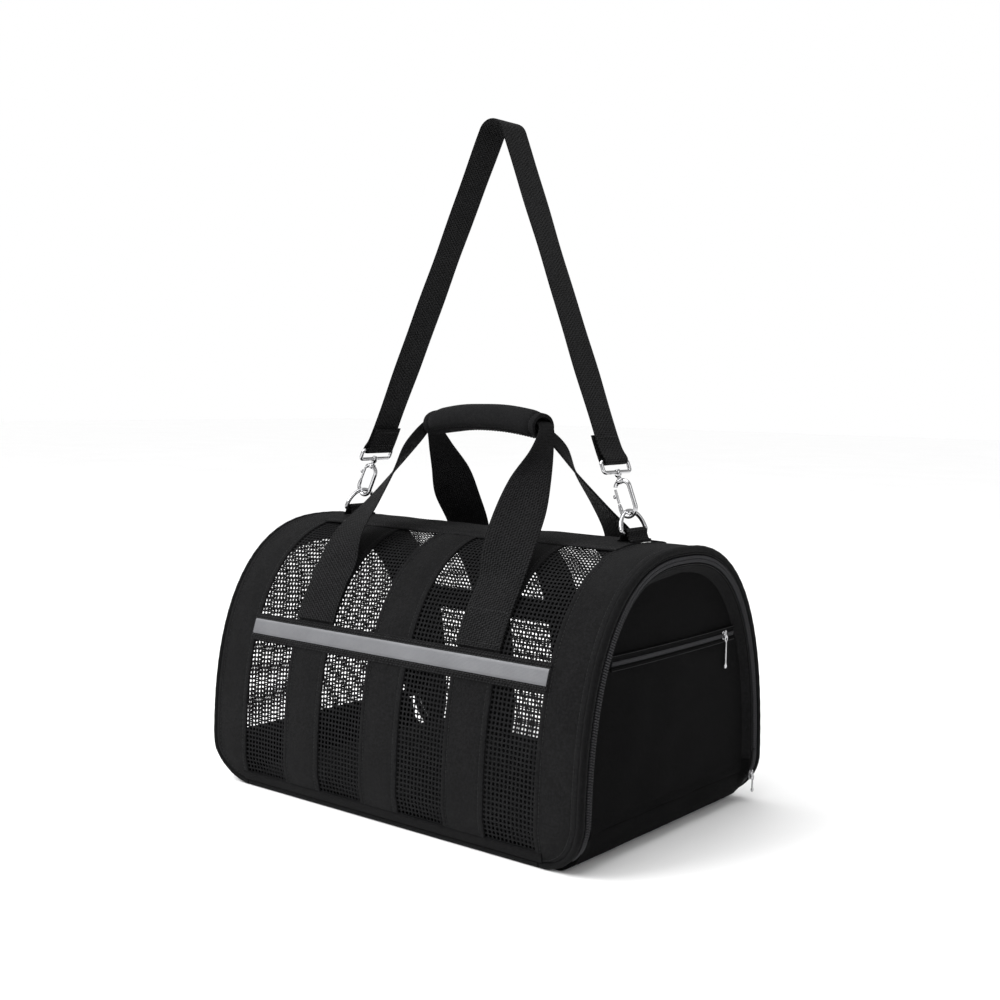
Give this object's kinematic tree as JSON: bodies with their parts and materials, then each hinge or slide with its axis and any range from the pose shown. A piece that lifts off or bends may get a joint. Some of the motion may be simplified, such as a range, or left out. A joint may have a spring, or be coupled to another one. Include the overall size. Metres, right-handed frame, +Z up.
{
  "type": "soft-sided pet carrier",
  "caption": "Arched soft pet carrier with mesh sides, a zipped fold-down end door with a pocket, a padded carry grip and a shoulder strap on snap hooks.",
  "frame": {"origin": "middle of the base, on the surface that the carrier stands on", "axes": "+X along the bag to the zipped door, +Y to the rear side, +Z up to the strap"},
  "size_m": [0.457, 0.3068, 0.6527],
  "materials": {
    "black_fabric": "matte woven polyester",
    "black_webbing": "ribbed woven webbing",
    "black_mesh": "knitted net with rounded square holes",
    "reflective_tape": "grey retroreflective tape",
    "black_piping": "bound piping",
    "zip_tape": "woven tape with nylon coil teeth",
    "spring_wire": "bare spring wire",
    "base_board": "smooth sheet",
    "fleece": "soft pile",
    "grip_fabric": "padded woven fabric",
    "chrome": "bright plated"
  },
  "bodies": {
    "carrier": {"floor_panel": "black_fabric", "base_board": "base_board", "fleece_mat": "fleece", "band_1": "black_fabric", "band_2": "black_fabric", "band_3": "black_fabric", "band_4": "black_fabric", "band_5": "black_fabric", "mesh_window_1": "black_mesh", "mesh_window_2": "black_mesh", "mesh_window_3": "black_mesh", "mesh_window_4": "black_mesh", "ridge_strip": "black_fabric", "webbing_front": "black_webbing", "webbing_rear": "black_webbing", "reflector_front": "reflective_tape", "reflector_rear": "reflective_tape", "piping_front": "black_piping", "piping_rear": "black_piping", "piping_left": "black_piping", "piping_right": "black_piping", "rim_wire_left": "spring_wire", "rim_wire_right": "spring_wire", "left_end_border": "black_fabric", "left_end_mesh": "black_mesh", "zip_outer": "zip_tape", "door_slider": "chrome", "handle_front": "black_webbing", "handle_rear": "black_webbing", "grip_wrap": "grip_fabric", "ring_tab_left": "black_webbing", "ring_tab_right": "black_webbing"},
    "door": {"zip_inner": "zip_tape", "door_gusset": "black_fabric", "door_panel": "black_fabric", "pocket_panel": "black_fabric", "pocket_zip": "zip_tape"},
    "pocket_slider": {"pocket_slider": "chrome"},
    "pocket_pull": {"pocket_pull": "chrome"},
    "door_pull": {"door_pull": "chrome"},
    "grip_flap": {"grip_flap": "grip_fabric"},
    "d_ring_right": {"d_ring_right": "chrome"},
    "d_ring_left": {"d_ring_left": "chrome"},
    "strap": {"shoulder_strap": "black_webbing", "strap_loop_right": "chrome", "strap_loop_left": "chrome"},
    "hook_right": {"hook_right": "chrome"},
    "hook_left": {"hook_left": "chrome"},
    "gate_right": {"gate_right": "chrome"},
    "gate_left": {"gate_left": "chrome"}
  },
  "joints": [
    {"name": "door_hinge", "type": "hinge", "parent": "carrier", "child": "door", "pos_m": [0.2172, 0, 0.0363], "axis": [0, 1, 0], "range_deg": [0, 90]},
    {"name": "pocket_zip_slide", "type": "slide", "parent": "door", "child": "pocket_slider", "axis": [0, 1, 0], "range_m": [-0.179, 0]},
    {"name": "pocket_pull_hinge", "type": "hinge", "parent": "pocket_slider", "child": "pocket_pull", "pos_m": [0.2239, 0.084, 0.171], "axis": [0, -1, 0], "range_deg": [0, 150]},
    {"name": "door_pull_hinge", "type": "hinge", "parent": "carrier", "child": "door_pull", "pos_m": [0.22639, 0.14047, 0.0265], "axis": [0, -1, 0], "range_deg": [0, 70]},
    {"name": "grip_flap_hinge", "type": "hinge", "parent": "carrier", "child": "grip_flap", "pos_m": [0, 0.016, 0.3657], "axis": [1, 0, 0], "range_deg": [0, 110]},
    {"name": "ring_tilt_right", "type": "hinge", "parent": "carrier", "child": "d_ring_right", "pos_m": [0.1735, 0, 0.2705], "axis": [0, 1, 0], "range_deg": [-2, 2]},
    {"name": "ring_tilt_left", "type": "hinge", "parent": "carrier", "child": "d_ring_left", "pos_m": [-0.1735, 0, 0.2705], "axis": [0, 1, 0], "range_deg": [-2, 2]},
    {"name": "strap_swing", "type": "hinge", "parent": "carrier", "child": "strap", "pos_m": [0, 0, 0.2705], "axis": [1, 0, 0], "range_deg": [-40, 40]},
    {"name": "hook_swivel_right", "type": "hinge", "parent": "strap", "child": "hook_right", "pos_m": [0.1548, 0, 0.32113], "axis": [-0.3681, 0, 0.9298], "range_deg": [-10, 10]},
    {"name": "hook_swivel_left", "type": "hinge", "parent": "strap", "child": "hook_left", "pos_m": [-0.15269, 0, 0.32021], "axis": [0.4303, 0, 0.9027], "range_deg": [-10, 10]},
    {"name": "gate_hinge_right", "type": "hinge", "parent": "hook_right", "child": "gate_right", "pos_m": [0.15204, 0, 0.30746], "axis": [0, -1, 0], "range_deg": [0, 20], "stiffness_Nm_per_rad": 0.008, "springref_deg": -11.46},
    {"name": "gate_hinge_left", "type": "hinge", "parent": "hook_left", "child": "gate_left", "pos_m": [-0.16458, 0, 0.31292], "axis": [0, -1, 0], "range_deg": [0, 20], "stiffness_Nm_per_rad": 0.008, "springref_deg": -11.46}
  ]
}
